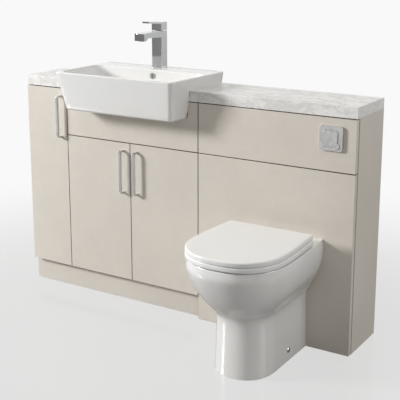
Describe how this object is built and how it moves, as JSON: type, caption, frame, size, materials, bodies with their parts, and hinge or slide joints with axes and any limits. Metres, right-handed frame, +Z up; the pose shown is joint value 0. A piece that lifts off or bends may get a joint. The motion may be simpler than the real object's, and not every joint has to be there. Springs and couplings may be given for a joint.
{
  "type": "toilet and basin combination unit",
  "caption": "Slimline fitted bathroom run: tall side unit, semi-recessed basin over a two-door unit, and a back-to-wall toilet with its concealed cistern.",
  "frame": {"origin": "on the floor under the centre of the overall box", "axes": "+X along the wall to the viewer's right, +Y back to the wall, +Z up"},
  "size_m": [1.4, 0.686, 1.0767],
  "materials": {
    "worktop_laminate": "pale stone-effect laminate worktop, low sheen",
    "board": "melamine-faced board, satin",
    "door_finish": "warm beige lacquered board, satin matt",
    "steel": "nickel-plated steel",
    "chrome": "polished chrome",
    "brass": "bare brass",
    "ceramic": "white glazed sanitary ware",
    "seat_plastic": "white moulded seat, gloss",
    "white_plastic": "white moulded plastic",
    "grey_plastic": "grey moulded plastic",
    "black_plastic": "black moulded plastic",
    "rubber": "pale rubber buffer",
    "braided_hose": "braided stainless hose",
    "satin_plate": "satin silver"
  },
  "bodies": {
    "cabinet": {"worktop": "worktop_laminate", "unit_gables": "board", "side_unit_back": "board", "side_unit_shelves": "board", "shelf_pins": "steel", "unit_rails": "board", "basin_fascia": "door_finish", "wc_unit_gables": "door_finish", "wc_unit_rails": "board", "wc_upper_panel": "door_finish", "wc_lower_panel": "door_finish", "panel_fixings": "white_plastic", "plinth": "door_finish", "adjustable_legs": "black_plastic", "unit_connectors": "steel", "hinge_arms": "steel", "basin": "ceramic", "waste_fitting": "chrome", "bottle_trap": "white_plastic", "tap_body": "chrome", "tap_aerator": "white_plastic", "tap_backnut": "brass", "tap_tails": "braided_hose", "isolating_valves": "chrome", "pan": "ceramic", "pan_connector": "white_plastic", "flush_pipe": "white_plastic", "pan_fixings": "steel", "seat_hinge_posts": "chrome", "cistern_tank": "white_plastic", "cistern_cover": "white_plastic", "fill_valve": "white_plastic", "flush_valve": "white_plastic", "flush_cables": "black_plastic", "flush_plate": "satin_plate"},
    "side_links": {"side_hinge_links": "steel"},
    "side_door": {"side_door": "door_finish", "side_handle": "chrome", "side_hinge_cups": "steel"},
    "left_links": {"left_hinge_links": "steel"},
    "left_door": {"left_door": "door_finish", "left_handle": "chrome", "left_hinge_cups": "steel"},
    "right_links": {"right_hinge_links": "steel"},
    "right_door": {"right_door": "door_finish", "right_handle": "chrome", "right_hinge_cups": "steel"},
    "seat": {"seat": "seat_plastic", "seat_buffers": "rubber", "seat_hinge_barrels": "chrome"},
    "lid": {"lid": "seat_plastic", "lid_buffers": "rubber", "lid_hinge_barrels": "chrome"},
    "tap_stem": {"tap_stem": "brass"},
    "tap_lever": {"tap_lever": "chrome"},
    "waste_plug": {"waste_plug": "chrome"},
    "float": {"float": "grey_plastic"},
    "flush_valve_seal": {"flush_valve_seal": "grey_plastic"},
    "full_flush_button": {"full_flush_button": "satin_plate"},
    "half_flush_button": {"half_flush_button": "satin_plate"}
  },
  "joints": [
    {"name": "side_link_turn", "type": "hinge", "parent": "cabinet", "child": "side_links", "pos_m": [-0.657, 0.1405, 0.36], "axis": [0, 0, 1], "range_deg": [0, 45.15]},
    {"name": "side_door_turn", "type": "hinge", "parent": "side_links", "child": "side_door", "pos_m": [-0.6845, 0.1285, 0.36], "axis": [0, 0, -1], "range_deg": [0, 150.15]},
    {"name": "left_link_turn", "type": "hinge", "parent": "cabinet", "child": "left_links", "pos_m": [-0.457, 0.1405, 0.36], "axis": [0, 0, 1], "range_deg": [0, 45.15]},
    {"name": "left_door_turn", "type": "hinge", "parent": "left_links", "child": "left_door", "pos_m": [-0.4845, 0.1285, 0.36], "axis": [0, 0, -1], "range_deg": [0, 150.15]},
    {"name": "right_link_turn", "type": "hinge", "parent": "cabinet", "child": "right_links", "pos_m": [0.057, 0.1405, 0.36], "axis": [0, 0, -1], "range_deg": [0, 45.15]},
    {"name": "right_door_turn", "type": "hinge", "parent": "right_links", "child": "right_door", "pos_m": [0.0845, 0.1285, 0.36], "axis": [0, 0, 1], "range_deg": [0, 150.15]},
    {"name": "seat_lift", "type": "hinge", "parent": "cabinet", "child": "seat", "pos_m": [0.438, 0.045, 0.415], "axis": [1, 0, 0], "range_deg": [-95, 0]},
    {"name": "lid_lift", "type": "hinge", "parent": "seat", "child": "lid", "pos_m": [0.438, 0.045, 0.415], "axis": [-1, 0, 0], "range_deg": [0, 95]},
    {"name": "tap_swivel", "type": "hinge", "parent": "cabinet", "child": "tap_stem", "pos_m": [-0.19, 0.302, 1.03], "axis": [0, 0, 1], "range_deg": [-45, 45]},
    {"name": "tap_lift", "type": "hinge", "parent": "tap_stem", "child": "tap_lever", "pos_m": [-0.19, 0.315, 1.0445], "axis": [-1, 0, 0], "range_deg": [0, 25]},
    {"name": "plug_pop", "type": "slide", "parent": "cabinet", "child": "waste_plug", "axis": [0, 0, 1], "range_m": [0, 0.008]},
    {"name": "float_rise", "type": "slide", "parent": "cabinet", "child": "float", "axis": [0, 0, 1], "range_m": [0, 0.06]},
    {"name": "valve_lift", "type": "slide", "parent": "cabinet", "child": "flush_valve_seal", "axis": [0, 0, 1], "range_m": [0, 0.02]},
    {"name": "full_flush_press", "type": "slide", "parent": "cabinet", "child": "full_flush_button", "axis": [0, 1, 0], "range_m": [0, 0.005], "stiffness_N_per_m": 300, "springref_m": -0.002},
    {"name": "half_flush_press", "type": "slide", "parent": "cabinet", "child": "half_flush_button", "axis": [0, 1, 0], "range_m": [0, 0.005], "stiffness_N_per_m": 150, "springref_m": -0.002}
  ],
  "couplings": [
    {"joint": "side_link_turn", "follows": "side_door_turn", "ratio": 0.3007},
    {"joint": "left_link_turn", "follows": "left_door_turn", "ratio": 0.3007},
    {"joint": "right_link_turn", "follows": "right_door_turn", "ratio": 0.3007},
    {"joint": "full_flush_press", "follows": "valve_lift", "ratio": 0.25}
  ]
}
